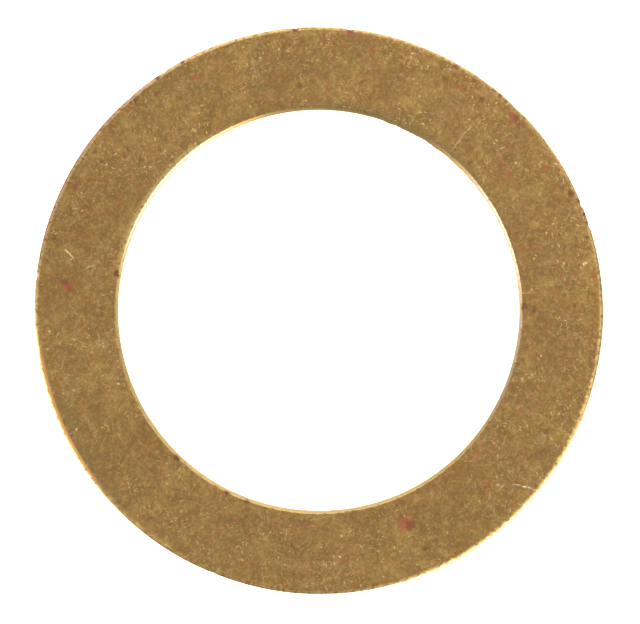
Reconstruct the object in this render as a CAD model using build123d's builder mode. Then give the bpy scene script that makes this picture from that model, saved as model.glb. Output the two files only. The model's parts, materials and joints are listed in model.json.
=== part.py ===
from build123d import *

import os

# Flat washer: a narrow-rimmed brass ring, blanked and pierced from sheet.
#
# The ring lies on its lower bearing face at z = 0, with the bore on the Z axis. The dies draw the
# outer edge of the upper face into a soft roll and its bore edge into a tighter one. They leave
# the lower edges sharp, and tumbling has broken those to a small flat.

# Driving dimensions, in millimetres
bore_diameter = 20.0
outer_diameter = 28.0
sheet_thickness = 1.5
outer_roll = 0.30  # radius of the rolled outer edge of the upper face
bore_roll = 0.14  # radius of the rolled bore edge of the upper face
edge_break = 0.08  # leg of the flat that breaks both edges of the lower face


def edges_of_face_at(level):
    """The washer's circular edges at one end along Z, from the bore outwards."""
    return washer.edges().group_by(Axis.Z)[level].sort_by(SortBy.RADIUS)


with BuildPart() as washer:
    with BuildSketch():
        Circle(outer_diameter / 2)
        Circle(bore_diameter / 2, mode=Mode.SUBTRACT)
    extrude(amount=sheet_thickness)
    fillet(edges_of_face_at(-1)[-1], radius=outer_roll)
    fillet(edges_of_face_at(-1)[0], radius=bore_roll)
    chamfer(edges_of_face_at(0), length=edge_break)

washer.part.label = "washer"
os.makedirs("parts", exist_ok=True)
export_step(washer.part, "parts/washer.step")
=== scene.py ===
import json
import math

import bpy
import numpy as np
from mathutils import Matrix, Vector


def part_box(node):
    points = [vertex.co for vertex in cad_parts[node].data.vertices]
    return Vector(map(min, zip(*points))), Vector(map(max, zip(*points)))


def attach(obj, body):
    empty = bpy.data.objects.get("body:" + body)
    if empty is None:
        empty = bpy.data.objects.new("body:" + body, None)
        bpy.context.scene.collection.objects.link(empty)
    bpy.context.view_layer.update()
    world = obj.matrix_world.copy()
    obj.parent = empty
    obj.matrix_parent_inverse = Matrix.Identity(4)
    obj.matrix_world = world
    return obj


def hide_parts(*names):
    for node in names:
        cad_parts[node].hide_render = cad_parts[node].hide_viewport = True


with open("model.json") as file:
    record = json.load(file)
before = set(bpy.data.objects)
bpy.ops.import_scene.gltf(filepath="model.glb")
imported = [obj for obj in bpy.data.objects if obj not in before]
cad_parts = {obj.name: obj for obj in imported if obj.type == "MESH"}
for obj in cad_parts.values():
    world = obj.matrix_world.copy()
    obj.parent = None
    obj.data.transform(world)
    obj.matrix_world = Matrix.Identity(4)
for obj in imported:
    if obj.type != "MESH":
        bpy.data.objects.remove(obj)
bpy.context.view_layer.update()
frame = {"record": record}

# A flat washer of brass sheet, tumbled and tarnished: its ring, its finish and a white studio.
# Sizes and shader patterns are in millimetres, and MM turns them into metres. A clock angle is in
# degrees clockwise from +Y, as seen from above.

# ------------------------------------------------------------------------------------------------
# Sizes
# ------------------------------------------------------------------------------------------------
MM = 0.001
MICRON = 0.000001
MOUNTS = {mount["name"]: mount for mount in frame["record"]["mounts"]}


def wall_span(mount):
    """The lowest and highest Z of a round mount's straight wall."""
    middle = mount["pos_m"][2] / MM
    half = mount["dims"]["length_mm"] / 2
    return middle - half, middle + half


THICKNESS = (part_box("washer")[1].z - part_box("washer")[0].z) / MM
BORE_RADIUS = MOUNTS["bore"]["dims"]["r_mm"]
RIM_RADIUS = MOUNTS["rim"]["dims"]["r_mm"]
EDGE_BREAK = wall_span(MOUNTS["bore"])[0]
STEEP_SHARE = 0.42         # the bore's roll is steep over this share, and eases in over the rest
BORE_ROLL = STEEP_SHARE * (THICKNESS - wall_span(MOUNTS["bore"])[1])
RIM_ROLL = THICKNESS - wall_span(MOUNTS["rim"])[1]

TURN_STEPS = 864           # steps round the ring
FACE_STEPS = 42            # steps across the upper face
BORE_DRAW = 0.010          # how far the piercing drew the upper face down at the bore
DEEPER_DRAW = 0.024        # how much more it did on its deepest side
DEEP_SIDE = 305.0          # clock angle of that side
DEEP_WIDTH = 1.1           # width of that side in radians
DRAW_REACH = 0.40          # how far from the bore that reaches
LAND_SHARE = 0.45          # how much of a wall is the shiny sheared band, measured from its top
LAND_SWAY = 0.07           # how far the sheared band's lower limit wanders up and down
TORN_SET_BACK = 0.004      # how far the torn band lies inside the sheared one
TORN_GRAIN = 0.004         # height of the torn band's grain
SHEAR_SCORES = 0.0012      # depth of the fine scores down the walls
DENT_COUNT = 260           # handling dents on each face
DENT_WIDTHS = (0.35, 1.3)
DENT_DEPTHS = (-0.004, 0.010)    # as shares of their widths
OVALITY = 0.045            # the rim stands this far out of round
LONG_WAY = 124.0           # clock angle of the rim's longest diameter

# Nicks in the upper edges: clock angle, width along the edge and depth
RIM_NICKS = [
    (355.2, 0.30, 0.045), (6.4, 0.38, 0.050), (276.7, 0.22, 0.040), (68.0, 0.26, 0.050),
    (72.5, 0.30, 0.035), (120.5, 0.20, 0.040), (127.0, 0.16, 0.035), (133.0, 0.18, 0.050),
    (138.5, 0.14, 0.035), (143.0, 0.22, 0.040), (151.5, 0.16, 0.030), (44.0, 0.60, 0.030),
    (327.0, 0.30, 0.035), (318.5, 0.22, 0.030), (202.0, 0.25, 0.030), (262.0, 0.25, 0.030),
]
BORE_NICKS = [
    (89.0, 0.26, 0.060), (105.0, 0.16, 0.035), (206.0, 0.22, 0.045), (221.0, 0.18, 0.035),
    (224.0, 0.20, 0.050), (280.2, 0.20, 0.060), (95.0, 0.14, 0.030), (335.0, 0.14, 0.025),
]
NICK_DROP = 0.7            # how much of a nick's depth it also drops the face's edge

# Places where the bore stands in: clock angle, width along the edge and how far
BORE_TIGHT = [(61.0, 6.0, 0.022), (182.0, 8.0, 0.026)]

# Torn burrs: noise seed, clock angles of both ends, height, level and spread in level
BORE_BURR = (31, 8.0, 55.0, 0.028, 0.10, 0.45)
RIM_BURR = (41, 104.0, 164.0, 0.030, THICKNESS - RIM_ROLL - 0.10, 0.40)

# Seeds of the random draws
SWAY_SEED = 11
SCORE_SEED = 12
UPPER_DENTS_SEED = 21
LOWER_DENTS_SEED = 22
GRAIN_SEED = 50


# ------------------------------------------------------------------------------------------------
# The ring's mesh
# ------------------------------------------------------------------------------------------------
def clock(degrees):
    """A clock angle as an ordinary angle in radians from +X."""
    return math.radians(90.0 - degrees)


def turned(angle, centre):
    """The signed difference of two angles in radians, wrapped into half a turn each way."""
    return (angle - centre + math.pi) % (2 * math.pi) - math.pi


def bell(distance, width):
    """A smooth bump of height one: e to the minus square of the distance over half the width."""
    return np.exp(-((2 * distance / width) ** 2))


def ramp(value, low, high):
    """0 at low, 1 at high, level beyond them and straight between. low may be the larger."""
    return np.clip((value - low) / (high - low), 0.0, 1.0)


def run(start, end, steps):
    """Points on the straight line from start to end, without its last point."""
    share = np.linspace(0.0, 1.0, steps, endpoint=False)[:, None]
    return np.array(start) + share * (np.array(end) - np.array(start))


def arc(centre, radius, first_deg, last_deg, steps):
    """Points on the circle about centre, from one angle to another, without the last point."""
    angle = np.radians(np.linspace(first_deg, last_deg, steps, endpoint=False))
    return np.array(centre) + radius * np.column_stack([np.cos(angle), np.sin(angle)])


def upper_face():
    """Points across the upper face, from bore to rim, closer together near both edges."""
    share = np.linspace(0.0, 1.0, FACE_STEPS, endpoint=False)
    eased = share - 0.6 * np.sin(2 * math.pi * share) / (2 * math.pi)
    first = BORE_RADIUS + BORE_ROLL
    radius = first + eased * (RIM_RADIUS - RIM_ROLL - first)
    return np.column_stack([radius, np.full(FACE_STEPS, THICKNESS)])


def ring_section():
    """The ring's section as (radius, height) points, going round with the metal on the right.

    It goes outwards over the upper face, round the rolled rim edge, down the rim's sheared and
    torn bands, over the broken edge, inwards under the lower face and up the bore the same way.
    """
    top = THICKNESS
    rim_land = top - RIM_ROLL - LAND_SHARE * (top - RIM_ROLL - EDGE_BREAK)
    bore_land = top - BORE_ROLL - LAND_SHARE * (top - BORE_ROLL - EDGE_BREAK)
    rim_torn = RIM_RADIUS - TORN_SET_BACK
    bore_torn = BORE_RADIUS + TORN_SET_BACK
    return np.vstack([
        upper_face(),
        arc((RIM_RADIUS - RIM_ROLL, top - RIM_ROLL), RIM_ROLL, 90, 0, 9),
        run((RIM_RADIUS, top - RIM_ROLL), (RIM_RADIUS, rim_land), 5),
        run((RIM_RADIUS, rim_land), (rim_torn, EDGE_BREAK), 8),
        run((rim_torn, EDGE_BREAK), (RIM_RADIUS - EDGE_BREAK, 0.0), 2),
        run((RIM_RADIUS - EDGE_BREAK, 0.0), (BORE_RADIUS + EDGE_BREAK, 0.0), 22),
        run((BORE_RADIUS + EDGE_BREAK, 0.0), (bore_torn, EDGE_BREAK), 2),
        run((bore_torn, EDGE_BREAK), (BORE_RADIUS, bore_land), 8),
        run((BORE_RADIUS, bore_land), (BORE_RADIUS, top - BORE_ROLL), 5),
        arc((BORE_RADIUS + BORE_ROLL, top - BORE_ROLL), BORE_ROLL, 180, 90, 9),
    ])


def dents(x, y, seed):
    """Depth of a face's handling dents: each is a bell of its own width, and they add up."""
    draw = np.random.default_rng(seed)
    depth = np.zeros_like(x)
    for _ in range(DENT_COUNT):
        angle = draw.uniform(0.0, 2 * math.pi)
        radius = draw.uniform(BORE_RADIUS, RIM_RADIUS)
        width = draw.uniform(*DENT_WIDTHS)
        away = np.hypot(x - radius * math.cos(angle), y - radius * math.sin(angle))
        depth += width * draw.uniform(*DENT_DEPTHS) * bell(away, width)
    return depth


def nicks(marks, angle, radius):
    """Depth of the nicks in an edge of that radius: a row of bells along it, added up."""
    depth = np.zeros_like(angle)
    for clock_deg, width, deep in marks:
        depth += deep * bell(radius * turned(angle, clock(clock_deg)), width)
    return depth


def smooth_noise(seed, steps, reach):
    """Random values round the ring, from about -1 to 1, averaged over reach steps each way."""
    draw = np.random.default_rng(seed)
    values = draw.normal(size=steps)
    window = np.hanning(2 * reach + 1)
    window /= math.sqrt((window**2).sum())
    spectrum = np.fft.fft(values) * np.fft.fft(window, steps)
    return np.real(np.fft.ifft(spectrum))


def torn_roughness(seed, count):
    """A wall's torn grain: smooth noise round the ring at each of count heights, mixed with the
    noise of the height before it so that the grain runs on.
    """
    rows = np.stack([smooth_noise(seed + k, TURN_STEPS, 2) for k in range(count)], axis=1)
    return (rows + np.roll(rows, 1, axis=1)) / math.sqrt(2.0)


def burr(setting, angle, z):
    """How far a torn burr stands out of a wall, for a setting like RIM_BURR.

    The flakes are smooth noise round the ring with its low parts cut off, times a bell in height.
    """
    seed, first, last, height, level, spread = setting
    stretch = ramp(turned(angle, clock(last)), 0.0, 0.04)
    stretch = stretch * ramp(turned(angle, clock(first)), 0.0, -0.20)
    flakes = 0.6 * smooth_noise(seed, TURN_STEPS, 3) + 0.4 * smooth_noise(seed + 1, TURN_STEPS, 1)
    flakes = np.clip(0.5 + flakes, 0.0, 1.4)[:, None]
    return height * (stretch * flakes * bell(z - level, spread))


def closed_mesh(name, points, quads):
    """A smooth-shaded mesh object at the origin from arrays of points and of four-sided faces."""
    mesh = bpy.data.meshes.new(name)
    mesh.vertices.add(len(points))
    mesh.vertices.foreach_set("co", points.astype(np.float32).ravel())
    mesh.loops.add(quads.size)
    mesh.loops.foreach_set("vertex_index", quads.astype(np.int32).ravel())
    mesh.polygons.add(len(quads))
    mesh.polygons.foreach_set("loop_start", np.arange(0, quads.size, 4, dtype=np.int32))
    mesh.polygons.foreach_set("use_smooth", np.ones(len(quads), dtype=bool))
    mesh.update(calc_edges=True)
    mesh.validate()
    piece = bpy.data.objects.new(name, mesh)
    bpy.context.scene.collection.objects.link(piece)
    return piece


def washer_ring():
    """The washer: its section turned about Z, then marked.

    Point (i, j) is section point j at angle i: x = r cos a, y = r sin a, z = height. The marks move
    it a little first: out of round, drawn down at the bore, dented, nicked, and rough on the walls.
    """
    section = ring_section()
    count = len(section)
    a = (np.arange(TURN_STEPS) * (2 * math.pi / TURN_STEPS))[:, None]
    r = np.broadcast_to(section[:, 0], (TURN_STEPS, count)).copy()
    z = np.broadcast_to(section[:, 1], (TURN_STEPS, count)).copy()

    upper = ramp(z, 0.45 * THICKNESS, 0.80 * THICKNESS)
    lower = ramp(z, 0.30 * THICKNESS, 0.02 * THICKNESS)
    rim_side = ramp(r, RIM_RADIUS - 0.60, RIM_RADIUS - 0.05)
    bore_side = ramp(r, BORE_RADIUS + 0.60, BORE_RADIUS + 0.05)
    off_edge = (1.0 - rim_side) * (1.0 - bore_side)
    wall = 4.0 * ramp(z, 0.0, THICKNESS) * (1.0 - ramp(z, 0.0, THICKNESS))
    on_rim_wall = (r > RIM_RADIUS - 0.01) * wall
    on_bore_wall = (r < BORE_RADIUS + 0.01) * wall
    torn = wall * ramp(z, 0.62 * THICKNESS, 0.50 * THICKNESS)

    sway = LAND_SWAY * smooth_noise(SWAY_SEED, TURN_STEPS, 24)[:, None]
    scores = smooth_noise(SCORE_SEED, TURN_STEPS, 1)[:, None]
    grain = torn_roughness(GRAIN_SEED, count)
    rim_nick = nicks(RIM_NICKS, a, RIM_RADIUS) * upper * rim_side**2
    bore_nick = nicks(BORE_NICKS, a, BORE_RADIUS) * upper * bore_side**2
    x = r * np.cos(a)
    y = r * np.sin(a)

    drawn = np.clip(1.0 - (r - BORE_RADIUS) / DRAW_REACH, 0.0, 1.0) ** 2
    deep = BORE_DRAW + DEEPER_DRAW * bell(turned(a, clock(DEEP_SIDE)), DEEP_WIDTH)
    z -= deep * drawn * upper
    z -= dents(x, y, UPPER_DENTS_SEED) * upper * (0.25 + 0.75 * off_edge)
    z += np.maximum(dents(x, y, LOWER_DENTS_SEED), 0.0) * lower * off_edge * 0.6
    z -= NICK_DROP * (rim_nick + bore_nick)
    z += sway * (on_rim_wall + on_bore_wall)

    outside = (r - BORE_RADIUS) / (RIM_RADIUS - BORE_RADIUS)
    r += OVALITY * outside**2 * np.cos(2 * (a - clock(LONG_WAY)))
    r += bore_nick - rim_nick - nicks(BORE_TIGHT, a, BORE_RADIUS) * bore_side**2
    r += (on_rim_wall - on_bore_wall) * SHEAR_SCORES * scores
    outwards = np.where(r > 0.5 * (BORE_RADIUS + RIM_RADIUS), 1.0, -1.0)
    r += outwards * torn * TORN_GRAIN * grain
    r -= burr(BORE_BURR, a, z) * bore_side
    r += burr(RIM_BURR, a, z) * rim_side
    points = np.stack([r * np.cos(a), r * np.sin(a), z], axis=-1)

    i, j = np.meshgrid(np.arange(TURN_STEPS), np.arange(count), indexing="ij")
    beside = (j + 1) % count
    onward = ((i + 1) % TURN_STEPS) * count
    quads = np.stack([i * count + j, i * count + beside, onward + beside, onward + j], axis=-1)
    return closed_mesh("washer_ring", points.reshape(-1, 3) * MM, quads.reshape(-1, 4))


# ------------------------------------------------------------------------------------------------
# Shader arithmetic
# ------------------------------------------------------------------------------------------------
class Term:
    """A socket's value in a shader's arithmetic. Terms and plain numbers mix freely."""

    def __init__(self, book, socket):
        self.book = book
        self.socket = socket

    def also(self, output):
        """Another output of the same node, by name or number."""
        return Term(self.book, self.socket.node.outputs[output])

    def _math(self, operation, *values):
        return self.book.add("ShaderNodeMath", {"operation": operation}, dict(enumerate(values)))

    def __add__(self, other):
        return self._math("ADD", self, other)

    def __radd__(self, other):
        return self._math("ADD", other, self)

    def __sub__(self, other):
        return self._math("SUBTRACT", self, other)

    def __rsub__(self, other):
        return self._math("SUBTRACT", other, self)

    def __mul__(self, other):
        return self._math("MULTIPLY", self, other)

    def __rmul__(self, other):
        return self._math("MULTIPLY", other, self)

    def __abs__(self):
        return self._math("ABSOLUTE", self)

    def least(self, other):
        return self._math("MINIMUM", self, other)

    def most(self, other):
        return self._math("MAXIMUM", self, other)


class NodeBook:
    """The nodes of one material or world, added one at a time with their settings and inputs."""

    def __init__(self, owner):
        owner.use_nodes = True
        self.tree = owner.node_tree
        self.tree.nodes.clear()

    def add(self, kind, settings=None, inputs=None, output=0):
        """Adds a node, sets its settings, then its inputs by name or number; returns an output."""
        node = self.tree.nodes.new(kind)
        for key, value in (settings or {}).items():
            setattr(node, key, value)
        for key, value in (inputs or {}).items():
            if isinstance(value, Term):
                self.tree.links.new(value.socket, node.inputs[key])
            else:
                node.inputs[key].default_value = value
        return Term(self, node.outputs[output]) if node.outputs else None

    def vector(self, operation, *values):
        """A Vector Math node. SCALE takes its number second."""
        settings = {"operation": operation}
        names = (0, "Scale") if operation == "SCALE" else range(len(values))
        output = "Value" if operation in ("LENGTH", "DISTANCE", "DOT_PRODUCT") else "Vector"
        return self.add("ShaderNodeVectorMath", settings, dict(zip(names, values)), output)

    def blend(self, share, first, second):
        """The first colour where share is 0, the second where it is 1."""
        settings = {"data_type": "RGBA", "clamp_factor": True}
        return self.add("ShaderNodeMix", settings, {0: share, 6: first, 7: second}, 2)

    def shifted(self, colour, change, amount):
        """The colour plus amount times a change of colour."""
        return self.vector("MULTIPLY_ADD", change, amount, colour)

    def rise(self, value, low, high):
        """0 at low, 1 at high, level beyond them and a smooth S between. low may be the larger."""
        settings = {"interpolation_type": "SMOOTHSTEP"}
        inputs = {"Value": value, "From Min": low, "From Max": high}
        return self.add("ShaderNodeMapRange", settings, inputs)

    def noise(self, place, per_mm, detail=2.0, roughness=0.5, output="Fac"):
        """Smooth noise from 0 to 1 with so many swells to the mm, or its three-part colour."""
        inputs = {"Vector": place, "Scale": per_mm, "Detail": detail, "Roughness": roughness}
        return self.add("ShaderNodeTexNoise", {"noise_dimensions": "3D"}, inputs, output)

    def three_noises(self, place, per_mm, detail, roughness):
        """Three independent noises, each centred on zero."""
        parts = self.add("ShaderNodeSeparateColor", None,
                         {0: self.noise(place, per_mm, detail, roughness, "Color")})
        return [parts.also(k) - 0.5 for k in range(3)]

    def turned(self, place, degrees):
        """The place turned about Z, so that a stretched pattern lies another way."""
        return self.add("ShaderNodeVectorRotate", {"rotation_type": "Z_AXIS"},
                        {"Vector": place, "Angle": math.radians(degrees)})


# ------------------------------------------------------------------------------------------------
# The brass finish
# ------------------------------------------------------------------------------------------------
# Linear colours of the metal in its several states
TAN = (0.274, 0.1603, 0.0548)             # the mean tarnish of the faces
LIGHTER = (0.0112, 0.0082, 0.0023)        # one just visible step of lightness up
REDDER = (0.0061, -0.0019, 0.0006)        # one such step from green towards red
YELLOWER = (0.0014, 0.0, -0.0031)         # one such step from grey towards yellow
FLECK_AND_SPARKLE = (0.47, 0.315, 0.118, 1.0)         # metal laid bare by rubbing, with painted sparkle of light
PAINTED_GLINT_COLOUR = (0.77, 0.590, 0.290, 1.0)         # painted highlight: light caught by tiny dents
SCRATCH = (0.90, 0.750, 0.470, 1.0)       # bright metal in a scratch
FURROW = (0.165, 0.092, 0.031, 1.0)       # tarnish gathered in a hollow
COPPER = (0.34, 0.108, 0.058, 1.0)        # spots that have lost their zinc
PURPLE = (0.16, 0.066, 0.036, 1.0)        # the oxide round and over such spots
OLIVE = (0.20, 0.146, 0.060, 1.0)         # greenish film by the rim, an olive band by the bore, and painted shade on the bore's north wall
RIM_METAL = (0.78, 0.515, 0.200, 1.0)     # rubbed metal of the rim's roll
ROSE_METAL = (0.66, 0.400, 0.230, 1.0)    # the same where it is rosier
ORANGE_METAL = (0.52, 0.235, 0.085, 1.0)  # tinted lines by part of the rim and in the bore
BORE_METAL = (0.78, 0.580, 0.255, 1.0)    # rubbed metal of the bore's edge
LILAC_METAL = (0.66, 0.520, 0.390, 1.0)   # the same where it is greyer
PAINTED_SHEEN_METAL = (0.95, 0.880, 0.700, 1.0)    # painted highlight on two stretches of the bore's wall
DULL_METAL = (0.58, 0.385, 0.145, 1.0)    # smears and the torn bands
BARE_EDGE = (0.85, 0.70, 0.46, 1.0)       # what brass mirrors at a glancing angle

# Clouds in the tarnish: swells per mm, detail, roughness, and steps of light, red and yellow
CLOUDS = [
    (0.45, 2.0, 0.50, (10.0, 3.0, 2.5)),
    (1.80, 3.0, 0.60, (18.5, 15.0, 10.0)),
    (6.50, 2.0, 0.60, (23.0, 15.0, 7.0)),
]
CLOUD_LEAN = 2.8        # how much more the light patches stand out than the dark ones
CLOUD_SQUARE = 0.0075   # about the mean square of a cloud noise, taken off to keep the mean

# Parts of the edges that look different: clock angle and radius of the middle, then how far in mm
# the look is full and where it ends
# The first two are painted highlights: a brighter band from the bore's edge onto the face at the
# north-west, and a lighter bore wall there and at the east-north-east
SHEEN_NEAR_BORE = ((306.0, 10.0), 2.8, 5.4)
SHEEN_ON_BORE_WALL = [((309.0, 10.0), 2.4, 5.0), ((66.0, 10.0), 1.6, 3.6)]
TIDE_BORE = ((309.0, 10.0), 3.4, 5.6)
LILAC_BORE = ((103.0, 10.0), 1.8, 4.2)
THIN_BORE = [((182.0, 10.0), 2.0, 4.5), ((64.0, 10.0), 1.6, 3.6)]
# An olive band by the bore's north side, and painted shade on the bore's north wall, where it gets
# little light
OLIVE_BY_BORE = ((24.0, 10.1), 3.6, 7.4)
SHADE_ON_BORE = ((10.0, 10.1), 3.2, 7.0)
FILM_BY_RIM = ((238.0, 13.9), 2.0, 5.5)
ROSE_RIM = ((308.0, 14.0), 3.5, 8.0)
ORANGE_RIM = ((248.0, 13.8), 2.2, 4.4)
RAGGED_RIM = ((128.0, 14.0), 4.0, 8.5)

# Marks on the upper face: clock angle in degrees, radius and width in mm, strength
RED_SPOTS = [
    (157.9, 11.33, 0.66, 1.00), (275.5, 12.40, 0.46, 0.85), (45.0, 13.46, 0.36, 0.90),
    (32.0, 12.99, 0.28, 0.95), (6.4, 13.74, 0.36, 0.80), (8.1, 13.60, 0.34, 0.35),
    (11.5, 13.05, 0.30, 0.75), (358.8, 10.48, 0.28, 0.80), (356.5, 10.42, 0.20, 0.45),
    (136.0, 11.95, 0.27, 0.75), (174.2, 12.35, 0.26, 0.65), (186.9, 10.53, 0.26, 0.35),
    (308.5, 12.22, 0.26, 0.60), (332.5, 12.94, 0.26, 0.75), (331.2, 12.95, 0.20, 0.50),
    (57.8, 13.20, 0.28, 0.55), (54.7, 11.56, 0.28, 0.70), (62.5, 12.90, 0.28, 0.50),
    (57.9, 11.38, 0.22, 0.35), (81.8, 12.06, 0.26, 0.60), (82.8, 13.66, 0.24, 0.55),
    (83.7, 10.57, 0.22, 0.45), (157.0, 11.20, 0.30, 0.70), (132.5, 10.54, 0.24, 0.45),
    (289.8, 13.70, 0.24, 0.50), (200.0, 12.07, 0.22, 0.30), (306.1, 11.99, 0.26, 0.30),
    (296.8, 13.42, 0.26, 0.60), (146.4, 13.82, 0.24, 0.70), (45.7, 10.38, 0.20, 0.50),
]
PURPLE_SPOTS = [
    (276.3, 12.52, 0.32, 0.80), (274.9, 12.34, 0.26, 0.60), (156.9, 11.50, 0.44, 0.90),
    (45.5, 13.56, 0.30, 0.60), (33.4, 13.02, 0.22, 0.55), (6.4, 13.90, 0.36, 1.00),
    (355.2, 13.90, 0.30, 1.00), (355.0, 11.10, 0.28, 0.70), (37.8, 13.12, 0.30, 0.75),
    (29.2, 13.75, 0.24, 0.80), (28.6, 12.93, 0.30, 0.60), (34.2, 13.66, 0.22, 0.80),
    (38.4, 13.82, 0.26, 0.80), (40.1, 13.88, 0.22, 0.95), (41.8, 13.78, 0.18, 0.80),
    (45.7, 10.38, 0.22, 0.70), (50.8, 11.85, 0.28, 0.60), (65.0, 13.66, 0.32, 0.85),
    (65.0, 12.41, 0.24, 0.50), (67.0, 13.86, 0.20, 0.85), (70.2, 13.90, 0.26, 1.00),
    (71.8, 13.85, 0.20, 0.90), (74.7, 13.67, 0.20, 0.75), (72.7, 12.34, 0.18, 0.60),
    (72.7, 10.92, 0.18, 0.45), (88.7, 12.62, 0.24, 0.60), (90.0, 10.56, 0.24, 0.60),
    (88.8, 10.06, 0.34, 1.00), (94.0, 12.35, 0.22, 0.50), (96.5, 12.88, 0.18, 0.40),
    (280.2, 10.10, 0.30, 1.00), (224.0, 10.06, 0.28, 1.00), (206.6, 10.02, 0.30, 1.00),
    (200.5, 10.00, 0.22, 0.90), (196.7, 10.53, 0.24, 0.40), (186.3, 11.69, 0.26, 0.50),
    (169.8, 12.23, 0.26, 0.55), (156.0, 12.85, 0.24, 0.80), (118.5, 13.83, 0.18, 0.70),
    (118.0, 12.64, 0.22, 0.50), (122.9, 13.92, 0.16, 0.80), (331.2, 13.96, 0.24, 0.95),
    (325.2, 13.92, 0.24, 0.80), (319.0, 13.71, 0.22, 0.75), (323.0, 13.36, 0.20, 0.60),
    (322.9, 12.82, 0.30, 0.35), (321.4, 13.79, 0.22, 0.50), (310.1, 12.28, 0.20, 0.65),
    (308.5, 12.22, 0.28, 0.40), (310.3, 11.53, 0.22, 0.75), (305.4, 13.47, 0.22, 0.65),
    (304.5, 12.95, 0.18, 0.70), (296.8, 13.42, 0.32, 0.60), (310.3, 13.97, 0.24, 0.60),
    (280.4, 13.60, 0.20, 0.60), (285.3, 13.53, 0.28, 0.50), (324.6, 12.97, 0.18, 0.35),
]
# Painted glints: highlights painted into the colour where light catches tiny dents
PAINTED_GLINT_SPOTS = [
    (265.5, 13.22, 0.17, 1.00), (262.1, 13.48, 0.13, 0.80), (254.1, 10.22, 0.17, 0.85),
    (250.0, 10.50, 0.15, 0.75), (244.1, 13.25, 0.20, 0.85), (252.0, 12.70, 0.15, 0.70),
    (197.1, 12.90, 0.18, 0.90), (182.5, 11.74, 0.16, 0.75), (173.9, 11.09, 0.17, 1.00),
    (174.9, 12.15, 0.16, 0.90), (169.4, 11.78, 0.17, 0.90), (151.9, 13.08, 0.17, 0.80),
    (154.3, 13.67, 0.16, 0.80), (132.1, 13.44, 0.14, 0.80), (120.2, 11.46, 0.18, 1.00),
    (79.8, 13.28, 0.19, 1.00), (69.0, 11.33, 0.19, 0.85), (71.3, 11.89, 0.19, 0.80),
    (76.0, 10.93, 0.17, 0.80), (47.6, 12.78, 0.15, 1.00), (46.4, 12.02, 0.17, 0.80),
    (40.0, 11.18, 0.16, 1.00), (53.4, 12.13, 0.18, 0.55), (62.2, 12.34, 0.15, 0.60),
    (320.4, 13.43, 0.20, 0.75), (319.0, 13.07, 0.19, 0.65), (325.2, 11.35, 0.22, 0.50),
    (325.8, 12.42, 0.22, 0.50), (303.5, 13.86, 0.20, 0.70), (292.6, 13.11, 0.20, 0.60),
    (323.4, 10.19, 0.15, 0.90), (102.0, 11.22, 0.26, 0.55), (24.0, 13.20, 0.15, 0.85),
]

# Scratches: clock angle and radius of each end, width and strength
SCRATCHES = [
    ((283.6, 12.86), (282.0, 12.29), 0.050, 0.70), ((282.0, 12.29), (281.6, 12.48), 0.040, 0.50),
    ((280.0, 11.70), (281.5, 11.28), 0.050, 0.40), ((131.8, 12.81), (130.7, 13.19), 0.050, 0.60),
    ((130.7, 13.19), (129.7, 13.86), 0.060, 0.90), ((39.6, 10.30), (39.7, 11.10), 0.045, 0.30),
    ((39.4, 11.16), (39.8, 11.93), 0.045, 0.38), ((345.0, 11.73), (345.3, 12.91), 0.040, 0.20),
    ((136.0, 10.28), (134.6, 10.59), 0.045, 0.35), ((319.0, 11.02), (323.8, 10.98), 0.045, 0.22),
    ((315.3, 10.60), (315.5, 10.95), 0.050, 0.25), ((85.7, 11.97), (86.0, 12.68), 0.040, 0.22),
    ((70.0, 12.90), (68.5, 13.40), 0.040, 0.22), ((48.2, 11.95), (48.8, 12.20), 0.050, 0.40),
]


def on_face(clock_deg, radius):
    """The (x, y, 0) of a place on a face, in mm."""
    angle = clock(clock_deg)
    return radius * math.cos(angle), radius * math.sin(angle), 0.0


def near(book, place, spot, inner, outer):
    """1 within inner mm of a spot given by clock angle and radius, and 0 beyond outer mm."""
    return book.rise(book.vector("DISTANCE", place, on_face(*spot)), outer, inner)


def flat_copy(book, place):
    """The place brought down to height zero, where the listed marks are."""
    return book.vector("MULTIPLY", place, (1.0, 1.0, 0.0))


def upper_side(book, place):
    """1 on the upper face and round its edges, fading to 0 down the walls."""
    return book.rise(book.add("ShaderNodeSeparateXYZ", None, {0: place}, 2), 0.80, 1.20)


def blots(book, place, rows, spread=1.0):
    """Mask of round marks with soft edges, one for each row of a list like RED_SPOTS."""
    mask = 0.0
    for clock_deg, radius, width, strength in rows:
        away = book.vector("DISTANCE", place, on_face(clock_deg, radius))
        mask = (book.rise(away, 0.75 * width * spread, 0.25 * width * spread) * strength).most(mask)
    return mask


def strokes(book, place, degrees, spacing, size, keep):
    """Short strokes lying one way: stretched cells with a dash at the heart of some of them.

    spacing is (along, across) in mm, size the dash's share of a cell and keep the share of
    cells that have one. Gives a mask that is 1 in the dashes.
    """
    pitch = (1 / spacing[0], 1 / spacing[1], 2.0)
    cells = book.vector("MULTIPLY", book.turned(place, degrees), pitch)
    away = book.add("ShaderNodeTexVoronoi", None, {"Vector": cells, "Scale": 1.0}, "Distance")
    chance = book.add("ShaderNodeSeparateColor", None, {0: away.also("Color")})
    reach = book.rise(chance, 1.0 - keep, 1.0 - keep * 0.3) * size
    return book.rise(reach - away, 0.0, size * 0.6)


def tarnish(book, place):
    """The colour of the tarnish with its clouds, and the clouds' relief in micrometres."""
    sideways = book.vector("SUBTRACT", book.noise(place, 2.4, 1.0, 0.5, "Color"), (0.5, 0.5, 0.5))
    warped = book.vector("MULTIPLY_ADD", sideways, (0.35, 0.35, 0.35), place)
    colour = TAN
    relief = 0.0
    for per_mm, detail, roughness, steps in CLOUDS:
        for noise, change, step in zip(book.three_noises(warped, per_mm, detail, roughness),
                                       (LIGHTER, REDDER, YELLOWER), steps):
            if change is LIGHTER:
                relief = noise * (6.0 / per_mm) + relief
                noise = noise + CLOUD_LEAN * noise * noise - CLOUD_LEAN * CLOUD_SQUARE
            colour = book.shifted(colour, change, noise * step)
    return colour, relief


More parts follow.
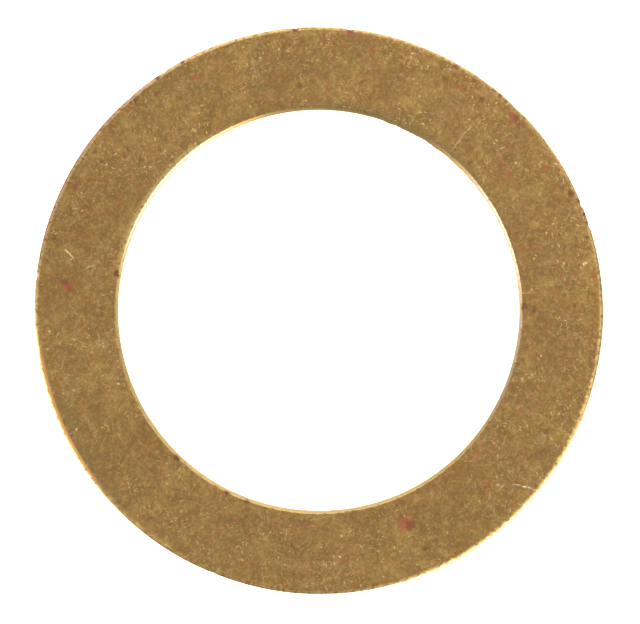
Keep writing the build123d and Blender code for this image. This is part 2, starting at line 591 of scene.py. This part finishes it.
def rubbing(book, place):
    """Masks of rubbed flecks with painted sparkle, of painted glints and of furrows. The first two
    crowd together in places.
    """
    crowd = book.rise(book.noise(place, 0.5, 3.0, 0.6), 0.40, 0.62)
    crest = 0.0
    trough = 1.0
    for degrees in (12.0, 48.0, 87.0, 121.0, 160.0):
        lane = book.vector("MULTIPLY", book.turned(place, degrees), (2.7, 8.6, 3.4))
        streak = book.noise(lane, 1.0, 1.0, 0.5)
        crest = streak.most(crest)
        trough = streak.least(trough)
    # rubbed flecks of bare metal, partly painted sparkle of light
    flecks_and_sparkle = book.rise(crest, 0.60, 0.80) * (0.50 + 0.70 * crowd)
    furrows = book.rise(1.0 - trough, 0.60, 0.80)
    # Painted glints: scattered highlights painted into the colour, then the listed ones
    painted_glints = strokes(book, place, 20.0, (0.34, 0.13), 0.32, 0.22)
    painted_glints = painted_glints.most(strokes(book, place, 75.0, (0.34, 0.13), 0.32, 0.22))
    painted_glints = painted_glints.most(strokes(book, place, 140.0, (0.34, 0.13), 0.32, 0.22))
    painted_glints = 0.58 * painted_glints * (0.15 + 0.85 * crowd)
    dashes = strokes(book, place, 35.0, (0.27, 0.14), 0.46, 0.95)
    dashes = dashes.most(strokes(book, place, 115.0, (0.28, 0.15), 0.42, 0.90))
    listed = blots(book, flat_copy(book, place), PAINTED_GLINT_SPOTS, 1.3) * dashes * upper_side(book, place)
    return flecks_and_sparkle, painted_glints.most(0.95 * listed), furrows


def listed_spots(book, place):
    """Masks of the red spots, listed and scattered small ones, and of the purple spots."""
    wander = book.vector("SUBTRACT", book.noise(place, 5.0, 3.0, 0.6, "Color"), (0.5, 0.5, 0.5))
    ragged = flat_copy(book, book.vector("MULTIPLY_ADD", wander, (0.40, 0.40, 0.40), place))
    patchy = 0.60 + 0.8 * book.noise(place, 7.0, 2.0)
    small = strokes(book, ragged, 17.0, (0.70, 0.70), 0.14, 0.40)
    upper = upper_side(book, place)
    red = (blots(book, ragged, RED_SPOTS) * upper).most(0.30 * small) * patchy
    return red, blots(book, ragged, PURPLE_SPOTS) * upper


def scratch_marks(book, place):
    """Mask of the listed scratches: near enough to each one's line, and between its ends."""
    wander = book.vector("SUBTRACT", book.noise(place, 3.0, 1.0, 0.5, "Color"), (0.5, 0.5, 0.5))
    bent = book.vector("MULTIPLY_ADD", wander, (0.12, 0.12, 0.0), place)
    marks = 0.0
    for first, last, width, brightness in SCRATCHES:
        start = Vector(on_face(*first))
        span = Vector(on_face(*last)) - start
        onward = span.normalized()
        aside = Vector((-onward.y, onward.x, 0.0))
        across = abs(book.vector("DOT_PRODUCT", bent, aside) - start.dot(aside))
        along = book.vector("DOT_PRODUCT", bent, onward) - start.dot(onward)
        inside = book.rise(along.least(span.length - along), -0.03, 0.10)
        line = book.rise(width / 2 - across, -width / 3, width / 3)
        marks = (line * inside * brightness).most(marks)
    return marks * book.rise(book.noise(place, 6.0, 1.0), 0.28, 0.50)


def edge_masks(book, flat, radius):
    """Masks of the worn edges and walls of rim and bore, by distance from the axis, and a painted
    highlight by the bore.
    """
    along_rim = book.vector("SCALE", book.vector("NORMALIZE", flat), RIM_RADIUS)
    comb = book.noise(along_rim, 5.0, 3.0, 0.65) - 0.5
    comb = comb * (0.14 + 0.34 * near(book, flat, *RAGGED_RIM))
    rim_edge = book.rise(radius + comb, RIM_RADIUS - 0.24, RIM_RADIUS - 0.06)
    rim_edge = rim_edge.most(book.rise(radius, RIM_RADIUS - 0.05, RIM_RADIUS - 0.02))
    thin = near(book, flat, *THIN_BORE[0]).most(near(book, flat, *THIN_BORE[1]))
    bore_edge = book.rise(radius + 0.022 * thin, BORE_RADIUS + 0.050, BORE_RADIUS - 0.005)
    # painted highlight: a brighter band onto the face at the bore's north-west
    painted_sheen_band = book.rise(radius, BORE_RADIUS + 0.34, BORE_RADIUS + 0.03)
    bore_edge = bore_edge.most(0.50 * painted_sheen_band * near(book, flat, *SHEEN_NEAR_BORE))
    return rim_edge, bore_edge


def olive_film_and_shade(book, place, flat, radius):
    """Mask of the olive: a band beside the bore, a film beside the rim and painted shade on the
    bore's north wall; and the mask of that painted shade.
    """
    patches = book.rise(book.noise(place, 6.0, 3.0, 0.7), 0.38, 0.60)
    by_bore = book.rise(radius, BORE_RADIUS + 0.48, BORE_RADIUS + 0.16)
    by_bore = by_bore * near(book, flat, *OLIVE_BY_BORE)
    # painted shade on the north part of the bore's wall and edge
    painted_shade_on_bore = book.rise(radius, BORE_RADIUS + 0.06, BORE_RADIUS) * near(book, flat, *SHADE_ON_BORE)
    by_rim = book.rise(radius, RIM_RADIUS - 1.40, RIM_RADIUS - 0.45)
    by_rim = by_rim * near(book, flat, *FILM_BY_RIM)
    olive_and_shade = (0.80 * by_bore).most(0.55 * by_rim).most(0.70 * painted_shade_on_bore)
    return (0.30 + 0.70 * patches) * olive_and_shade, painted_shade_on_bore


def edge_metal_and_sheen(book, flat, radius, rim_edge, dull):
    """The colour of the rubbed edges and walls, with their rosy, lilac and dull parts, and painted
    highlights on parts of the bore's wall.
    """
    rim_metal = book.blend(near(book, flat, *ROSE_RIM), RIM_METAL, ROSE_METAL)
    bore_metal = book.blend(near(book, flat, *LILAC_BORE), BORE_METAL, LILAC_METAL)
    # painted highlight on two stretches of the bore's wall
    painted_sheen_on_wall = near(book, flat, *SHEEN_ON_BORE_WALL[0]).most(near(book, flat, *SHEEN_ON_BORE_WALL[1]))
    painted_sheen_on_wall = painted_sheen_on_wall * book.rise(radius, BORE_RADIUS + 0.05, BORE_RADIUS)
    bore_metal = book.blend(painted_sheen_on_wall, bore_metal, PAINTED_SHEEN_METAL)
    return book.blend(dull, book.blend(rim_edge, bore_metal, rim_metal), DULL_METAL)


def orange_lines(book, flat, radius, height, rim_edge):
    """Masks of a tide line low on part of the bore's wall and of a seam inside part of the rim."""
    tide = book.rise(height, 0.34, 0.44) * book.rise(height, 0.74, 0.62) * (1.0 - rim_edge)
    tide = tide * near(book, flat, *TIDE_BORE)
    seam = book.rise(radius, RIM_RADIUS - 0.31, RIM_RADIUS - 0.25)
    seam = seam * book.rise(radius, RIM_RADIUS - 0.13, RIM_RADIUS - 0.19)
    return tide, seam * near(book, flat, *ORANGE_RIM)


def brass_finish():
    """Tumbled brass: clouded tarnish, rubbed flecks, copper spots, scratches and brighter edges,
    with painted sparkle, glints, highlights and shade.
    """
    material = bpy.data.materials.new("brass_tumbled")
    book = NodeBook(material)
    place = book.vector("SCALE", book.add("ShaderNodeTexCoord", output="Object"), 1.0 / MM)
    flat = flat_copy(book, place)
    radius = book.vector("LENGTH", flat)
    height = book.add("ShaderNodeSeparateXYZ", None, {0: place}, 2)

    # Where on the ring: the two edges, the walls and their torn lower part
    rim_edge, bore_edge = edge_masks(book, flat, radius)
    edge = rim_edge.most(bore_edge)
    on_wall = edge * (1.0 - book.rise(height, THICKNESS - 0.34, THICKNESS - 0.20))
    tear = book.noise(place, 2.2, 2.0, 0.6)
    torn = on_wall * (1.0 - book.rise(height + 0.35 * tear, 0.90, 1.05))

    # The faces: tarnish, then film by the rim, olive band and painted shade by the bore, hollows,
    # rubbed parts and marks over it
    colour, relief = tarnish(book, place)
    flecks_and_sparkle, painted_glint_mask, furrows = rubbing(book, place)
    red, purple = listed_spots(book, place)
    scratches = scratch_marks(book, place)
    olive_and_shade, painted_shade_on_bore = olive_film_and_shade(book, place, flat, radius)
    colour = book.blend(olive_and_shade, colour, OLIVE)
    colour = book.blend(0.50 * furrows, colour, FURROW)
    # rubbed flecks, partly painted sparkle
    colour = book.blend(0.60 * flecks_and_sparkle, colour, FLECK_AND_SPARKLE)
    colour = book.blend(0.95 * purple, colour, PURPLE)
    colour = book.blend((1.05 * red).least(0.76), colour, COPPER)
    colour = book.blend(0.55 * purple * red, colour, PURPLE)
    # painted highlight of the glints
    colour = book.blend(painted_glint_mask, colour, PAINTED_GLINT_COLOUR)
    colour = book.blend(scratches, colour, SCRATCH)

    # The rubbed edges and the walls, smeared downwards, with painted highlights by the bore
    smear = book.noise(book.vector("MULTIPLY", place, (1.0, 1.0, 0.15)), 5.0, 3.0, 0.6)
    dull = 0.5 * book.rise(smear, 0.40, 0.70) + 0.5 * torn
    wear_and_sheen = edge * book.rise(smear + 0.5 * on_wall, 0.32, 0.56)
    # no bright metal where the bore's north wall has painted shade
    wear_and_sheen = wear_and_sheen * (1.0 - purple) * (1.0 - 0.85 * painted_shade_on_bore)
    tide, seam = orange_lines(book, flat, radius, height, rim_edge)
    colour = book.blend(wear_and_sheen, colour, edge_metal_and_sheen(book, flat, radius, rim_edge, dull))
    colour = book.blend(0.90 * tide, colour, ORANGE_METAL)
    colour = book.blend(0.80 * seam, colour, ORANGE_METAL)

    roughness = 0.53 - 0.10 * flecks_and_sparkle - 0.20 * painted_glint_mask + 0.06 * red - 0.08 * wear_and_sheen + 0.10 * torn
    relief = relief - 1.2 * furrows - 1.0 * painted_glint_mask + 1.0 * red - 2.0 * scratches + 5.0 * torn * tear
    bump = book.add("ShaderNodeBump", None, {"Distance": MICRON, "Height": relief}, "Normal")
    shader = book.add("ShaderNodeBsdfPrincipled", None, {
        "Base Color": colour, "Metallic": 1.0, "Roughness": roughness, "Normal": bump,
        "Specular Tint": BARE_EDGE})
    book.add("ShaderNodeOutputMaterial", None, {"Surface": shader})
    return material


# ------------------------------------------------------------------------------------------------
# Stage: floor, lights and camera
# ------------------------------------------------------------------------------------------------
# Lights: clock angle and elevation of each, its distance, width and height in m, its radiance
SOFTBOXES = {
    "overhead": (40, 67, 0.6, 0.42, 0.42, 2.10),
    "left_low": (250, -27, 0.5, 0.27, 0.62, 5.00),
    "left_high": (236, 46, 0.5, 0.38, 0.40, 2.60),
    "right_low": (137, -31, 0.5, 0.32, 0.62, 6.30),
    "right_high": (130, 36, 0.5, 0.44, 0.36, 1.20),
    "back": (4, 16, 0.5, 0.80, 0.56, 1.60),
    "back_low": (10, -42, 0.5, 0.90, 0.40, 1.90),
    "back_left": (305, 10, 0.5, 0.40, 0.50, 0.75),
    "back_right": (78, 30, 0.5, 0.60, 0.50, 1.30),
    "front": (192, 32, 0.5, 0.60, 0.44, 0.42),
}
AIR_GLOW = (0.30, 0.30, 0.30, 1.0)
WHITE = (1.0, 1.0, 1.0, 1.0)
FLOOR_REACH = 1.2          # half the floor's side, in m
FLOOR_GAP = 0.02           # how far below the ring the floor lies, so that the two don't meet
FLOOR_GLOW = 0.8
CAMERA_HEIGHT = 0.100      # above the upper face, in m
VIEW_WIDTH = 0.03147       # what the view takes in across the upper face, in m
CAMERA_X = 0.0000616       # how far the camera stands off the bore's axis, in m
CAMERA_Y = -0.0000715


def softbox(name, clock_deg, elevation_deg, distance, width, height, radiance):
    """A rectangular area light facing the ring, placed by clock angle and elevation."""
    azimuth = clock(clock_deg)
    rise = math.radians(elevation_deg)
    level = math.cos(rise)
    out = Vector((math.cos(azimuth) * level, math.sin(azimuth) * level, math.sin(rise)))
    data = bpy.data.lights.new(name, "AREA")
    data.shape = "RECTANGLE"
    data.size = width
    data.size_y = height
    data.energy = radiance * width * height * math.pi
    lamp = bpy.data.objects.new(name, data)
    lamp.location = out * distance
    lamp.rotation_mode = "QUATERNION"
    lamp.rotation_quaternion = out.to_track_quat("Z", "Y")
    lamp.visible_camera = False
    bpy.context.scene.collection.objects.link(lamp)


def studio_air():
    """A dim even glow from all round, in front of a white backdrop."""
    world = bpy.data.worlds.new("studio_air")
    book = NodeBook(world)
    seen = book.add("ShaderNodeLightPath", output="Is Camera Ray")
    colour = book.blend(seen, AIR_GLOW, WHITE)
    background = book.add("ShaderNodeBackground", None, {"Color": colour})
    book.add("ShaderNodeOutputWorld", None, {"Surface": background})
    bpy.context.scene.world = world


def pale_floor():
    """A white floor under the ring, lit so strongly that it shows no shadow.

    It is seen from above only, and the ring doesn't mirror it.
    """
    reach = FLOOR_REACH
    corners = [(-reach, -reach, 0), (reach, -reach, 0), (reach, reach, 0), (-reach, reach, 0)]
    mesh = bpy.data.meshes.new("floor")
    mesh.from_pydata(corners, [], [(0, 1, 2, 3)])
    material = bpy.data.materials.new("floor_white")
    book = NodeBook(material)
    white = book.add("ShaderNodeBsdfPrincipled", None, {
        "Base Color": (0.85, 0.85, 0.85, 1.0), "Roughness": 0.9,
        "Emission Color": WHITE, "Emission Strength": FLOOR_GLOW})
    clear = book.add("ShaderNodeBsdfTransparent")
    from_below = book.add("ShaderNodeNewGeometry", output="Backfacing")
    surface = book.add("ShaderNodeMixShader", None, {0: from_below, 1: white, 2: clear})
    book.add("ShaderNodeOutputMaterial", None, {"Surface": surface})
    mesh.materials.append(material)
    floor = bpy.data.objects.new("floor", mesh)
    floor.location.z = -FLOOR_GAP * MM
    floor.visible_glossy = False
    floor.visible_diffuse = False
    floor.visible_shadow = False
    bpy.context.scene.collection.objects.link(floor)


def camera():
    """A camera square above the ring, close enough to see a little of the bore's wall."""
    data = bpy.data.cameras.new("camera")
    data.sensor_width = 36.0
    data.lens = data.sensor_width * CAMERA_HEIGHT / VIEW_WIDTH
    data.clip_start = 0.01
    data.clip_end = 10.0
    view = bpy.data.objects.new("camera", data)
    view.location = (CAMERA_X, CAMERA_Y, THICKNESS * MM + CAMERA_HEIGHT)
    bpy.context.scene.collection.objects.link(view)
    bpy.context.scene.camera = view


ring = washer_ring()
ring.data.materials.append(brass_finish())
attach(ring, "root")
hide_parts("washer")
pale_floor()
studio_air()
for name, setting in SOFTBOXES.items():
    softbox(name, *setting)
camera()
bpy.context.scene.view_settings.view_transform = "Standard"
